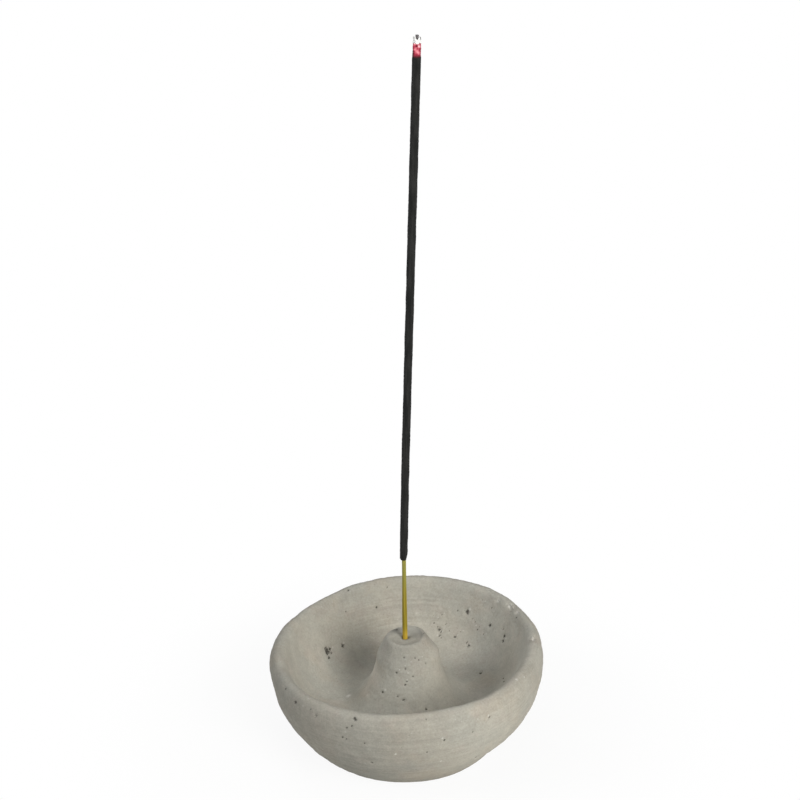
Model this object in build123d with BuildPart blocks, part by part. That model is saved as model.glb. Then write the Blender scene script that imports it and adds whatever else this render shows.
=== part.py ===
# Incense stick holder: a turned stone bowl with a boss in its middle, and a lit stick standing in the boss.
# Millimetres, +Z up. The origin is on the flat foot, below the middle of the bowl's widest ring.
import os
from math import asin, atan, cos, degrees, radians, sin, sqrt, tan

from build123d import *

# Bowl: heights are measured from the foot along the turning axis
bowl_radius = 50.4  # the widest ring, outside
widest_height = 30.0  # height of the widest ring
foot_radius = 34.4  # where the outer wall comes down to the foot
foot_round = 0.8  # worn edge of the foot
lip_width = 7.2  # across the rounded lip
lip_height = 6.8  # from the widest ring up to the top of the lip
wall_slope = 66.0  # degrees from level, inside, below the lip
trough_radius = 24.0  # ring along the bottom of the ash trough
trough_height = 13.0  # stone below the trough
turning_tilt = 3.86  # degrees that the turning axis leans towards -X from the ground foot
cut_overrun = 1.0  # stone turned below the foot before it is ground flat

# Boss in the middle of the bowl
boss_height = 40.2  # to the crest before it is rounded
crest_radius = 7.0  # ring of the crest before it is rounded
crest_round = 1.1
boss_foot_round = 10.0  # hollow curve from the trough up to the flank
crater_depth = 2.0  # from the crest down to the middle of the crater

# Hole for the stick
hole_depth = 9.0
funnel_radius = 2.6  # worn mouth of the hole
funnel_angle = 82.0  # degrees across the mouth's cone
drill_offset = 0.2  # how far the hole is off the turning axis, towards +X
stick_clearance = 0.3  # between the splint and the hole's wall

# Stick: lengths run along its centre line
splint_radius = 0.675
bare_length = 32.3  # bare splint between the hole's mouth and the coat
coat_length = 180.2
coat_thickness = 0.68
coat_end_round = 0.5
ember_length = 3.6
ember_shrink = 0.05  # the coat draws in where it glows
ash_length = 2.6
ash_shrink = 0.12  # the ash draws in further
ash_gap_width = 0.8  # between the prongs of the crumbling ash
ash_gap_depth = 1.3
ash_prongs = 3
char_proud = 0.8  # charred splint standing out of the ash
char_round = 0.25
splint_lean = -0.96  # degrees from plumb, towards +X, below the bend
coat_lean = 1.32  # degrees from plumb, towards +X, above the bend
bend_start = 1.0  # from the coat's lower end to where the bend begins
bend_run = 7.0  # from where the bend begins to the corner that it rounds

# Turning axis, through the middle of the widest ring
tilt = radians(turning_tilt)
turning_plane = Plane(
    origin=(widest_height * sin(tilt), 0, widest_height * (1 - cos(tilt))),
    x_dir=(cos(tilt), 0, sin(tilt)),
    z_dir=(0, -1, 0),
)
turning_axis = Axis(turning_plane.origin, turning_plane.y_dir)

# Outer wall: a parabola that stands upright at the widest ring
below_foot = foot_radius * sin(tilt) + cut_overrun
wall_flare = (bowl_radius - foot_radius) * ((widest_height + below_foot) / widest_height) ** 2
wall_start = (bowl_radius - wall_flare, -below_foot)
wall_pull = (bowl_radius, (widest_height - below_foot) / 2)
wall_end = (bowl_radius, widest_height)
lip_center = Vector(bowl_radius - lip_width / 2, widest_height)

# Inner wall: a straight line that touches the lip's ellipse, then an arc that ends level in the trough
slope = radians(wall_slope)
lip_turn = atan(lip_height / (lip_width / 2) / tan(slope))
lip_sweep = 180 - degrees(lip_turn)
wall_top = lip_center + Vector(-lip_width / 2 * cos(lip_turn), lip_height * sin(lip_turn))
wall_corner = Vector(wall_top.X - (wall_top.Y - trough_height) / tan(slope), trough_height)
wall_foot = wall_corner + Vector(cos(slope), sin(slope)) * (wall_corner.X - trough_radius)

# Flank of the boss: the straight line from the crest that touches the hollow curve at its foot
crest = Vector(crest_radius, boss_height)
trough = Vector(trough_radius, trough_height)
hollow_center = trough + Vector(0, boss_foot_round)
crest_to_center = hollow_center - crest
flank_turn = degrees(asin(boss_foot_round / crest_to_center.length))
flank_length = sqrt(crest_to_center.length**2 - boss_foot_round**2)
flank_foot = crest + crest_to_center.normalized().rotate(Axis.Z, -flank_turn) * flank_length
crater_floor = Vector(0, boss_height - crater_depth)

# Mouth of the hole, at the ring where the crater is as wide as the funnel
mouth_height = crater_floor.Y + crater_depth * funnel_radius / crest_radius
mouth = turning_plane.from_local_coords(Vector(0, mouth_height)) + Vector(drill_offset, 0, 0)
hole_radius = splint_radius + stick_clearance

# Centre line of the stick: a straight run out of the hole, a gentle bend and a straight run to the tip
lower_run = Vector(sin(radians(splint_lean)), 0, cos(radians(splint_lean)))
upper_run = Vector(sin(radians(coat_lean)), 0, cos(radians(coat_lean)))
bend_radius = bend_run / tan(radians(coat_lean - splint_lean) / 2)
mouth_plane = Plane(mouth, x_dir=(lower_run.Z, 0, -lower_run.X), z_dir=lower_run)
splint_foot = mouth - lower_run * hole_depth
coat_start = mouth + lower_run * bare_length
bend_corner = coat_start + lower_run * (bend_start + bend_run)
coat_end = bend_corner + upper_run * (coat_length - bend_start - bend_run)
ember_end = coat_end + upper_run * ember_length
ash_end = ember_end + upper_run * ash_length
splint_tip = ash_end + upper_run * char_proud

coat_radius = splint_radius + coat_thickness
ember_radius = coat_radius - ember_shrink
ash_radius = ember_radius - ash_shrink


def across_stick(point, direction):
    """The plane square to the stick at a point of its centre line."""
    return Plane(point, x_dir=(direction.Z, 0, -direction.X), z_dir=direction)


# Bowl, turned about the leaning axis, ground flat at the foot and drilled for the stick
with BuildPart() as bowl:
    with BuildSketch(turning_plane):
        with BuildLine():
            Line((0, -below_foot), wall_start)
            Bezier(wall_start, wall_pull, wall_end)
            EllipticalCenterArc(lip_center, lip_width / 2, lip_height, start_angle=0, arc_size=lip_sweep)
            Line(wall_top, wall_foot)
            TangentArc(wall_foot, trough, tangent=wall_foot - wall_top)
            TangentArc(trough, flank_foot, tangent=(-1, 0))
            FilletPolyline(flank_foot, crest, crater_floor, radius=crest_round)
            Line(crater_floor, (0, -below_foot))
        make_face()
    revolve(axis=turning_axis)
    split(bisect_by=Plane.XY, keep=Keep.TOP)
    fillet(bowl.faces().sort_by(Axis.Z)[0].edges(), foot_round)
    with Locations(Location(mouth_plane)):
        CounterSinkHole(hole_radius, funnel_radius, hole_depth, funnel_angle)

# Splint, the whole length of the stick, charred and rounded at its tip
with BuildPart() as bamboo_core:
    with BuildLine():
        FilletPolyline(splint_foot, bend_corner, splint_tip, radius=bend_radius)
    with BuildSketch(across_stick(splint_foot, lower_run)):
        Circle(splint_radius)
    sweep()
    fillet(bamboo_core.faces().sort_by(Axis.Z)[-1].edges(), char_round)

# Incense paste rolled round the splint, rounded where it ends above the bare splint
with BuildPart() as charcoal_coat:
    with BuildLine():
        FilletPolyline(coat_start, bend_corner, coat_end, radius=bend_radius)
    with BuildSketch(across_stick(coat_start, lower_run)):
        Circle(coat_radius)
        Circle(splint_radius, mode=Mode.SUBTRACT)
    sweep()
    fillet(charcoal_coat.faces().sort_by(Axis.Z)[0].outer_wire().edges(), coat_end_round)

# Ember, the stretch of paste that glows
with BuildPart() as ember:
    with BuildSketch(across_stick(coat_end, upper_run)):
        Circle(ember_radius)
        Circle(splint_radius, mode=Mode.SUBTRACT)
    extrude(amount=ember_length)

# Ash, crumbled into prongs at its top
with BuildPart() as ash_tip:
    with BuildSketch(across_stick(ember_end, upper_run)):
        Circle(ash_radius)
        Circle(splint_radius, mode=Mode.SUBTRACT)
    extrude(amount=ash_length)
    with BuildSketch(across_stick(ash_end, upper_run)):
        with PolarLocations(ash_radius, ash_prongs):
            Rectangle(ash_radius, ash_gap_width)
    extrude(amount=-ash_gap_depth, mode=Mode.SUBTRACT)

os.makedirs("parts", exist_ok=True)
pieces = {
    "bowl": bowl,
    "bamboo_core": bamboo_core,
    "charcoal_coat": charcoal_coat,
    "ember": ember,
    "ash_tip": ash_tip,
}
for name, piece in pieces.items():
    piece.part.label = name
    export_step(piece.part, f"parts/{name}.step")
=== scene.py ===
"""Looks of the incense stick holder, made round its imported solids, in their frame."""

from math import cos, pi, radians, sin

import bpy
import numpy as np
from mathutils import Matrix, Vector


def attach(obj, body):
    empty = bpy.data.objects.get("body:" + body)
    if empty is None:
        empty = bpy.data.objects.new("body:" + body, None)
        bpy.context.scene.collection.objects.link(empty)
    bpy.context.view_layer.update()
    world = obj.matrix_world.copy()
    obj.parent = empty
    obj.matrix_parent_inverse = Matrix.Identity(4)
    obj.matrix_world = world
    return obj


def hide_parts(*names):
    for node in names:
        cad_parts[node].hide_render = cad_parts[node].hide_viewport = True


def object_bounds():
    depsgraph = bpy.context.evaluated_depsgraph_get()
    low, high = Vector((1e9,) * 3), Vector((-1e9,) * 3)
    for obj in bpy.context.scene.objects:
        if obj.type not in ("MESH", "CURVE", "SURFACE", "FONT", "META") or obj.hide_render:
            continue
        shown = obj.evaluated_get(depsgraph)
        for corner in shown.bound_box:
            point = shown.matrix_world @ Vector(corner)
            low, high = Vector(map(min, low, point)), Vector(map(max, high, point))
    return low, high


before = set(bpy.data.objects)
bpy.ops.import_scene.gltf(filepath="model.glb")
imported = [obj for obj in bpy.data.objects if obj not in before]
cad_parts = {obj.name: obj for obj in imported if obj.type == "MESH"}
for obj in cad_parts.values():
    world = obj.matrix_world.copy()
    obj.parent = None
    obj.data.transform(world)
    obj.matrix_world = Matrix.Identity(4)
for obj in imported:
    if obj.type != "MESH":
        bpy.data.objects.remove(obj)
cad_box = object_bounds()

# Lengths are in millimetres, and make_piece turns them into metres
MM = 0.001

# Bowl, as its solid is turned: heights run along the turning axis, which leans towards -X
BOWL_RADIUS = 50.4
WIDEST_HEIGHT = 30.0
FOOT_RADIUS = 34.4
FOOT_ROUND = 1.3
LIP_WIDTH = 7.2
LIP_HEIGHT = 6.8
WALL_SLOPE = radians(66.0)
TROUGH_RADIUS = 24.0
TROUGH_HEIGHT = 13.0
TURNING_TILT = radians(3.86)
BOSS_HEIGHT = 40.2
CREST_RADIUS = 7.0
CREST_ROUND_OUT = 3.08  # from the crest down the flank to where its rounding begins
CREST_ROUND_IN = 1.32  # from the crest towards the crater to where its rounding ends
HOLLOW_RADIUS = 10.0
CRATER_DEPTH = 2.0
DISH_RADIUS = 5.1
BOSS_DRIFT = 0.7

# Hole in the boss
HOLE_DEPTH = 9.0
HOLE_RADIUS = 0.975
FUNNEL_RADIUS = 2.6
MOUTH_RADIUS = 1.6
MOUTH_DEPTH = 0.72
DRILL_OFFSET = 0.2

# Mesh of the bowl: points round its rings, and rows along each stretch of its profile
WALL_POINTS = 512
BOSS_POINTS = 256
FOOT_RINGS = ((0.25, 128), (0.5, 128), (0.75, 128), (0.9, 256))  # share of the foot's radius, points
FOOT_EDGE_ROWS = 5
WALL_ROWS = 57
LIP_ROWS = 30
LIP_TOP_ROW = 16  # the row on top of the lip, counted from the widest ring
INNER_WALL_ROWS = 20
TROUGH_ROWS = 24
HOLLOW_ROWS = 18
FLANK_ROWS = 60
CREST_ROWS = 6
CRATER_ROWS = 9
FUNNEL_ROWS = 4

# Masks on the bowl: the heights, radii or rows past the top of the lip over which they fade
LIP_HEIGHTS = (26, 36)
LIP_RADII = (30, 36)
INSIDE_ROWS = 20
OUTSIDE_ROWS = (-10, 14)
BOSS_RADII = (17, 21)
BOSS_FOOT_RADII = (18, 25)
LATHE_FROM = (17, 20)
LATHE_UNTIL = (29, 32)
CRATER_HEIGHTS = (BOSS_HEIGHT - 3, BOSS_HEIGHT - 2)
HOLE_HEIGHTS = (BOSS_HEIGHT - 12, BOSS_HEIGHT - 11)

# The hand's work on the bowl: angles are in radians from +X
HAND_WAVES = ((0.14, 34.0), (0.06, 7.0), (0.03, 2.2))  # height, wavelength
FRONT_LIFT = 1.0  # how much higher the lip stands at the front
FRONT_THICK = 0.8  # how much thicker it is there
FRONT_SPREAD = 0.8
LIP_WEAR = 1.1  # how far the lip is worn down at the front right
WEAR_ANGLE = -0.75
WEAR_SPREAD = 0.42
HAND_REACH = 8.0
GROOVE_DEPTH = 0.04
GROOVE_PITCHES = (1.7, 2.9)
LATHE_ANGLE = 1.66  # where the turning lines show on the inner wall
LATHE_SPREAD = 0.45
FOOT_FADE = 2.5  # height below which the foot stays as it was ground
MOUTH_FADE = 0.8  # ring round the hole's mouth that stays as it was drilled

# Stick: lengths run up its centre line from the foot of the splint
SPLINT_RADIUS = 0.675
BARE_LENGTH = 32.3
COAT_LENGTH = 180.2
COAT_RADIUS = 1.355
EMBER_LENGTH = 3.6
EMBER_RADIUS = 1.305
ASH_LENGTH = 2.6
ASH_RADIUS = 1.185
CHAR_PROUD = 0.8
SPLINT_LEAN = radians(-0.96)
COAT_LEAN = radians(1.32)
BEND_START = 1.0
BEND_LENGTH = 14.0
BOW = 0.15  # how far the stick bows towards +X, at a height above the coat's lower end and with a reach
BOW_HEIGHT = 12.0
BOW_REACH = 18.0
LINE_STEPS = 4000

# Splint: a rounded square that swells towards its foot
SQUARE_POWER = 3.2
SQUARE_TURN = 0.5
SQUARE_SHARE = 0.97  # of the solid's radius, across the flats
FOOT_SWELL = 0.4
SWELL_LENGTH = 28.0
SWELL_LIMIT = 0.25
FIBRE_DEPTH = 0.022
TIP_GAP = 0.05  # below the tip of the solid
BURNT_SHARE = 0.5  # of its thickness that is gone inside the ash
TIP_SHARE = 0.25  # of its thickness that the charred tip has more

# Coat, ember and ash
COAT_GAP = 0.45  # bare splint above the lower end of the coat's solid
COAT_PROUD = 0.06
COAT_END_LENGTHS = (0.9, 3.6)  # of the drawn end, on its short side and its slanted side
COAT_END_THICKNESS = (0.38, 0.02)  # of the paste's edge, on those sides
ASH_OVER = 0.45  # how much longer the ash stands than its solid
ASH_EDGE = 0.15  # how much lower the inner edge of the ash is
ASH_INSET = 0.02
ASH_TAPER = 0.05
ASH_WALL = 0.1  # least thickness of the ash
ASH_RAGGED = (0.12, 0.08)  # drop of its upper edge, all round and in seven waves
HOT_HEIGHT = 0.7  # of the lower edge of the ash that still glows
HOT_UNEVEN = 0.2
EVEN_HEAT = 0.42
UNEVEN_HEAT = 0.06

# Mesh of the stick: points round it and rows along it
SPLINT_POINTS = 64
SPLINT_ROWS = (220, 120)  # up past the coat's drawn end, and inside the coat
COAT_POINTS = 48
COAT_ROWS = (40, 620)  # on its drawn end, and above it
EMBER_POINTS = 72
EMBER_ROWS = 60
ASH_POINTS = 96
ASH_ROWS = 50

# Lumps on the stick's side: height, wavelength round it and along it in millimetres, number of waves
COAT_GRAIN = ((0.028, 2.6, 9.0, 20), (0.016, 0.5, 1.1, 32))
EMBER_LUMPS = ((0.05, 1.2, 1.4, 20), (0.03, 0.4, 0.5, 20))
ASH_LUMPS = ((0.1, 0.8, 1.0, 20), (0.06, 0.3, 0.35, 20))

MOUTH_HEIGHT = BOSS_HEIGHT - CRATER_DEPTH + CRATER_DEPTH * FUNNEL_RADIUS / CREST_RADIUS
COAT_START = HOLE_DEPTH + BARE_LENGTH
COAT_END = COAT_START + COAT_LENGTH
EMBER_END = COAT_END + EMBER_LENGTH
ASH_END = EMBER_END + ASH_LENGTH
STICK_LENGTH = ASH_END + CHAR_PROUD

# Camera, fitted to the bowl's outline in the 800 pixel square image
IMAGE_SIZE = 800
FOCAL_PIXELS = 1600.0
CAMERA_PLACE = np.array([-2.26, -497.28, 360.16])
CAMERA_DIP = radians(24.43)
SENSOR_WIDTH = 36.0
SEEN_WITHIN = 1.6  # pixels round a mark in which its nearest point is looked for

# Lamps and floor, in metres
LAMP_DISTANCE = 0.9
LAMP_TARGET = 0.03  # height of the point that the lamps face
FLOOR_REACH = 3.0
SHADOW_RADII = (0.05, 0.13)  # from the middle of the floor: where its shadow is kept, and where it has faded

# Deep, dark pores that show in the photograph: pixel across, pixel down, radius in millimetres
DEEP_PORES = (
    (329, 650, 1.3), (330, 656.5, 0.6), (343, 644.5, 0.75), (378, 608.5, 0.5), (465.6, 612.5, 0.95),
    (488.5, 624.5, 0.75), (502.2, 636, 0.75), (501.4, 640, 0.7), (354.3, 717.2, 0.6), (354.6, 719.6, 0.5),
    (326.6, 648.8, 0.6), (331.5, 648.6, 0.6), (328.6, 653, 0.6), (331.5, 651.8, 0.45),
)
# Shallow pores that show in the photograph: pixel across, pixel down, radius in millimetres
SHALLOW_PORES = (
    (350, 589.6, 0.6), (388, 586, 0.38), (347, 611.6, 0.4), (456.7, 612, 0.4), (501, 629, 0.5),
    (438, 629, 0.85), (438.6, 634, 0.6), (454, 636.5, 0.6), (467.3, 645, 0.75), (480.2, 671.7, 0.85),
    (502.4, 677, 0.55), (381.3, 692.6, 0.5), (402.6, 701.6, 0.6), (427.3, 708.6, 0.6), (294, 701.5, 0.7),
    (294.4, 704.5, 0.5), (315.6, 717.2, 0.65), (309, 709, 0.5), (345.6, 728.7, 0.55),
    (351.7, 726.8, 0.45), (342.4, 738, 0.5), (345.5, 740, 0.45), (445.2, 740.9, 0.5),
    (491.8, 717.5, 0.55), (476.3, 758.2, 0.7), (428.8, 752.9, 0.5), (371, 763.8, 0.55),
    (284.5, 689.5, 0.5), (364.6, 745.3, 0.38), (473.8, 733.3, 0.4), (426.6, 717.6, 0.45), (476, 630, 0.4),
    (436.3, 627.5, 0.4), (439.8, 631.3, 0.45), (440, 637, 0.35), (514, 617, 0.5), (403, 658, 0.4),
    (420, 660, 0.4), (426, 663, 0.42), (405, 670, 0.4), (396, 672.8, 0.42), (414, 677, 0.4),
    (407, 683, 0.42), (404, 685, 0.45), (396, 696.7, 0.45), (416, 658, 0.36), (397.5, 628, 0.45),
    (424.8, 631.5, 0.4), (433, 616, 0.36), (441, 615, 0.36), (446, 617, 0.36), (434, 622, 0.36),
    (445, 623, 0.36), (432, 630, 0.3), (443, 638, 0.32), (448, 631, 0.36), (460, 632, 0.35),
    (474, 622, 0.36), (478, 627, 0.32), (484, 604, 0.36), (490, 608, 0.36), (508, 612, 0.4),
    (513, 621, 0.36), (471, 618, 0.36), (482, 634, 0.36), (466, 642, 0.4), (503, 680, 0.4),
    (481, 600, 0.3),
)
# Pores on the hidden sides: how many, and their least and greatest radius in millimetres
HIDDEN_PORES = 70
HIDDEN_RADII = (0.4, 0.8)
# Chips on the rim: pixel across, pixel down, radius in millimetres
SEEN_CHIPS = (
    (509.8, 604, 1.9), (516, 610, 1.2), (533.9, 636, 1.8), (498, 599, 1.4),
)
CHIP_GRAIN = 1.5  # wavelength of the roughness in a chip
# Light grains that stand out, and painted highlights at the lit edges of pores: pixel across, pixel down,
# radius in millimetres
GRAINS_AND_HIGHLIGHTS = (
    (348, 695.6, 1.1), (396, 756, 0.55), (516, 679, 0.55), (523.5, 676, 0.4), (441, 763, 0.5),
    (468.4, 609.2, 0.75), (443.2, 738.8, 0.5), (504.6, 638.5, 0.55), (383.6, 690, 0.45),
    (489.5, 715.5, 0.45), (437, 618, 0.36), (443, 613, 0.36), (436, 634.5, 0.4), (449, 627, 0.34),
    (463, 629, 0.36), (475, 626, 0.42), (481, 619, 0.36), (484, 602, 0.42), (492, 611, 0.36),
    (457, 634, 0.4), (441.5, 631, 0.4), (490.5, 622.5, 0.4), (469.5, 643.5, 0.45), (333.5, 647, 0.45),
    (345.5, 642.5, 0.45), (412, 662, 0.36), (423, 657, 0.36), (409, 674, 0.4), (406, 681, 0.4),
    (399, 670, 0.36),
)
# Depth of pores and chips and height of grains, as shares of their radii
PORE_SHARE = 0.75
CHIP_SHARE = 0.3
GRAIN_SHARE = 0.2
# Marks below this radius, in millimetres, are fainter, and so are shallow pores, by a share
SMALL_MARK = 0.45
SHALLOW_SHARE = 0.78
# Unevenness of the hand at the outline: pixel across, pixel down, millimetres outwards
HAND_LUMPS = (
    (485, 764, -1.25), (270, 658, 0.5), (271, 688, -0.5), (294, 733, -0.4), (540, 650, 0.4),
    (536, 695, -0.3), (400, 577, 0.5), (301, 612, -0.6), (331, 594, -0.5), (520, 607, -0.8),
)
# Lighter and darker patches of the stone, partly its own tone and partly painted light and painted shade
# where lit spots and shadows fall: place and reach in millimetres, share lighter
TONE_PAINTED_LIGHT_AND_SHADE = (
    (26, -38, 17, 17, 0.12), (37, -31, 34, 12, -0.07), (9, -5, 32, 7, 0.07),
    (-12.5, 19.5, 17.5, 6.5, -0.26), (-36, -32, 32, 10, -0.05), (0, -46, 34, 14, -0.03),
    (0, -1, 40, 9, -0.21), (-9, -6, 34, 7, -0.09), (-18, 40, 28, 15, -0.05), (2, -9.5, 36.5, 3.5, -0.06),
    (-10, 28, 20, 6, -0.16), (-10.5, -1, 26.5, 5, 0.14), (24.5, 14.5, 17, 6.5, -0.14),
    (17, 4.5, 16, 6, 0.12), (25, -1, 15.5, 5.5, 0.12), (37, 14, 25, 9, 0.06), (42, -20, 39, 6, -0.12),
    (14.2, -3, 22, 4.5, 0.08), (18.5, 19.7, 14.5, 5, -0.06), (34.4, -31.7, 39.6, 4.5, -0.08),
    (-12, 30.5, 15, 5, -0.11), (-8, -7, 28.5, 3.5, 0.07), (-12.1, 0, 24.1, 3, 0.08),
    (41.2, 19.1, 38.6, 5, -0.09), (7.4, 0.7, 39.3, 2, -0.08), (12.7, -45.6, 38.4, 5, -0.05),
)
# Dark marks in the crater, staining at the back left and painted shade on the right: angle and its reach in
# radians, radius and its reach in millimetres, darkness
CRATER_STAIN_AND_SHADE = ((2.3, 0.5, 5.3, 0.9, 1.0), (0.35, 0.4, 6.2, 0.8, 0.7), (0.5, 0.7, 4.0, 1.6, 0.4))
# Marks round the ember: degrees from +X, millimetres above its lower end, reach in millimetres, heat
EMBER_SPOTS = (
    (-118, 2.75, 0.5, 0.34), (-90, 2.2, 0.45, 0.42), (-66, 1.7, 0.42, 0.46), (-58, 3.6, 0.45, 0.7),
    (-92, 3.75, 0.32, -0.45), (-158, 2.2, 0.55, -0.4), (-40, 2.6, 0.4, -0.15), (-128, 4.2, 0.4, 0.4),
    (-150, 1, 0.5, -0.35), (-170, 2.9, 0.5, -0.4), (-10, 2.1, 0.6, -0.25), (40, 2.6, 0.5, 0.4),
    (75, 1.8, 0.55, 0.4), (110, 3.1, 0.5, 0.5), (140, 1.8, 0.45, -0.25), (178, 1.2, 0.7, -0.6),
    (178, 2.6, 0.6, -0.5),
)
# Dark flecks of the ash: degrees from +X, millimetres above the ember, reach across and along, darkness
ASH_FLECKS = (
    (-165, 2.55, 0.3, 0.5, 1.5), (-20, 2.5, 0.36, 0.5, 1.6), (-60, 1.45, 0.55, 0.1, 0.3),
    (-140, 1.05, 0.22, 0.18, 0.5), (-42, 0.95, 0.24, 0.18, 0.55), (60, 1.7, 0.22, 0.5, 0.7),
    (128, 2.1, 0.2, 0.5, 0.8), (95, 0.9, 0.3, 0.2, 0.4),
)
# Gaps in the upper edge of the ash: degrees from +X, half width in degrees, depth in millimetres
ASH_GAPS = ((-88, 30, 0.95), (35, 25, 1.0), (140, 22, 1.0))

# Colours of the stone
STONE_GREY = (0.384, 0.372, 0.325, 1)
STONE_WARM = (0.414, 0.392, 0.335, 1)
STONE_BROWN = (0.42, 0.365, 0.295, 1)
STONE_PINK = (0.43, 0.37, 0.325, 1)
# Painted shade in the pinholes
PINHOLE_SHADE_DARK = (0.16, 0.15, 0.13, 1)
CRUMB_LIGHT = (0.62, 0.60, 0.55, 1)
# Staining and painted shade in the crater
STAIN_AND_SHADE_DARK = (0.12, 0.115, 0.105, 1)
# Painted shade in the pits
PIT_SHADE_DARK = (0.055, 0.05, 0.043, 1)
# Light chips and grains, and painted highlights at the lit edges of pores
FLECK_AND_HIGHLIGHT_LIGHT = (0.68, 0.66, 0.62, 1)

# Colours of the stick, and tints that multiply them
BAMBOO_DARK = (0.20, 0.148, 0.012, 1)
BAMBOO_YELLOW = (0.36, 0.28, 0.03, 1)
BAMBOO_OLIVE = (0.27, 0.225, 0.03, 1)
GREENER = (1.0, 1.17, 2.1, 1)
# Painted light on the splint's foot, thrown up from the crater
PAINTED_FOOT_LIGHT = (1.65, 1.45, 1.6, 1)
CHAR_BLACK = (0.05, 0.046, 0.046, 1)
CHAR_GREY = (0.12, 0.11, 0.115, 1)
PASTE_BLACK = (0.008, 0.0085, 0.008, 1)
PASTE_GREY = (0.022, 0.022, 0.021, 1)
PASTE_DUST = (0.07, 0.068, 0.065, 1)
COAL = (0.03, 0.012, 0.012, 1)
ASH_GREY = (0.62, 0.62, 0.60, 1)
ASH_WHITE = (0.92, 0.92, 0.91, 1)
ASH_CHAR = (0.05, 0.046, 0.05, 1)
BLACK = (0, 0, 0, 1)
WHITE = (1, 1, 1, 1)
FLOOR_GREY = (0.82, 0.82, 0.81, 1)
# Glow of the ember when it is cold, and in steps of heat: from, to, colour at the end of the step
COLD_GLOW = (0.012, 0.001, 0.002, 1)
GLOW_STEPS = (
    (0.0, 0.42, (0.42, 0.022, 0.06, 1)),
    (0.42, 0.78, (0.95, 0.28, 0.33, 1)),
    (0.78, 1.0, (1.0, 0.72, 0.76, 1)),
)
# Tints of the lamps
WARM_LIGHT = (1.0, 0.99, 0.96)
COOL_LIGHT = (0.96, 0.98, 1.0)

chance = np.random.default_rng(7)


# Shared shapes

def camera_pixels(points):
    """Each point's place in the image and its depth: its sideways and upward parts over its forward part."""
    offset = points - CAMERA_PLACE
    depth = offset[:, 1] * cos(CAMERA_DIP) - offset[:, 2] * sin(CAMERA_DIP)
    rise = offset[:, 1] * sin(CAMERA_DIP) + offset[:, 2] * cos(CAMERA_DIP)
    across = IMAGE_SIZE / 2 + FOCAL_PIXELS * offset[:, 0] / depth
    down = IMAGE_SIZE / 2 - FOCAL_PIXELS * rise / depth
    return across, down, depth


def soft_noise(points, wavelength, waves=24, least=0.7, most=1.4):
    """A smooth random field of about unit height: many sine waves in random directions, whose lengths are
    the wavelength times a number between least and most."""
    directions = chance.normal(size=(waves, 3))
    directions /= np.linalg.norm(directions, axis=1)[:, None]
    lengths = wavelength * chance.uniform(least, most, waves)
    phases = chance.uniform(0, 2 * pi, waves)
    field = np.sin(points @ (directions * 2 * pi / lengths[:, None]).T + phases)
    return field.sum(1) * (2 / waves) ** 0.5


def smooth_step(value, low, high):
    """0 below low, 1 above high, and an eased rise between them."""
    share = np.clip((value - low) / (high - low), 0, 1)
    return share * share * (3 - 2 * share)


def bell(value, middle, reach):
    """A bell curve: e to the power of minus the squared distance from its middle, counted in reaches."""
    return np.exp(-(((value - middle) / reach) ** 2))


def ball(points, place, reach):
    """A bell curve in space: 1 at its place, and falling with the squared distance in reaches."""
    return np.exp(-((points - place) ** 2).sum(1) / reach**2)


def quadratic(first, pull, last, share):
    """Points on a quadratic curve from first to last, drawn towards pull, at shares of its way."""
    return (1 - share) ** 2 * first + 2 * share * (1 - share) * pull + share**2 * last


def shares(rows):
    """Even shares from 0 to 1 that part a stretch into rows."""
    return np.linspace(0, 1, rows + 1)


def angles(count):
    """Angles of the points of a ring, counted from +X towards +Y."""
    return np.arange(count) * 2 * pi / count


def circle(turns):
    """Points on a unit circle at a column of turns."""
    return np.concatenate([np.cos(turns), np.sin(turns)], 1)


def band(low, high, low_count, high_count):
    """Faces between two rings, each given by the index of its first point: quads where the rings match, and
    three triangles to each point of the coarser ring where one has twice as many points as the other."""
    count = min(low_count, high_count)
    here = np.arange(count)
    after = (here + 1) % count
    if low_count == high_count:
        return [np.stack([low + here, low + after, high + after, high + here], 1)]
    first, middle, last = 2 * here, 2 * here + 1, (2 * here + 2) % (2 * count)
    if low_count > high_count:
        corners = (
            (low + first, low + middle, high + here),
            (low + middle, high + after, high + here),
            (low + middle, low + last, high + after),
        )
    else:
        corners = (
            (low + here, high + middle, high + first),
            (low + here, low + after, high + middle),
            (low + after, high + last, high + middle),
        )
    return [np.stack(corner, 1) for corner in corners]


def weld(rings, loop=False):
    """Points and faces of a skin over a list of rings. A ring of one point is a pole, closed by a fan.
    With loop, the last ring joins the first, as on a tube with its bore."""
    counts = [len(ring) for ring in rings]
    starts = np.concatenate([[0], np.cumsum(counts)])
    pairs = list(zip(range(len(rings) - 1), range(1, len(rings))))
    if loop:
        pairs.append((len(rings) - 1, 0))
    faces = []
    for low, high in pairs:
        here = np.arange(max(counts[low], counts[high]))
        after = (here + 1) % len(here)
        pole = np.zeros_like(here)
        if counts[low] == 1:
            faces.append(np.stack([starts[low] + pole, starts[high] + after, starts[high] + here], 1))
        elif counts[high] == 1:
            faces.append(np.stack([starts[low] + here, starts[low] + after, starts[high] + pole], 1))
        else:
            faces.extend(band(starts[low], starts[high], counts[low], counts[high]))
    return np.concatenate(rings), faces


def point_normals(points, faces):
    """Unit normals at the points: the sum of the normals of the faces round each, taken across their
    diagonals."""
    normals = np.zeros_like(points)
    for group in faces:
        corner = points[group]
        if group.shape[1] == 4:
            across = np.cross(corner[:, 2] - corner[:, 0], corner[:, 3] - corner[:, 1])
        else:
            across = np.cross(corner[:, 1] - corner[:, 0], corner[:, 2] - corner[:, 0])
        for column in group.T:
            np.add.at(normals, column, across)
    return normals / np.maximum(np.linalg.norm(normals, axis=1), 1e-12)[:, None]


def add_object(name, data):
    """A mesh, lamp or camera put into the scene."""
    made = bpy.data.objects.new(name, data)
    bpy.context.scene.collection.objects.link(made)
    return made


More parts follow.
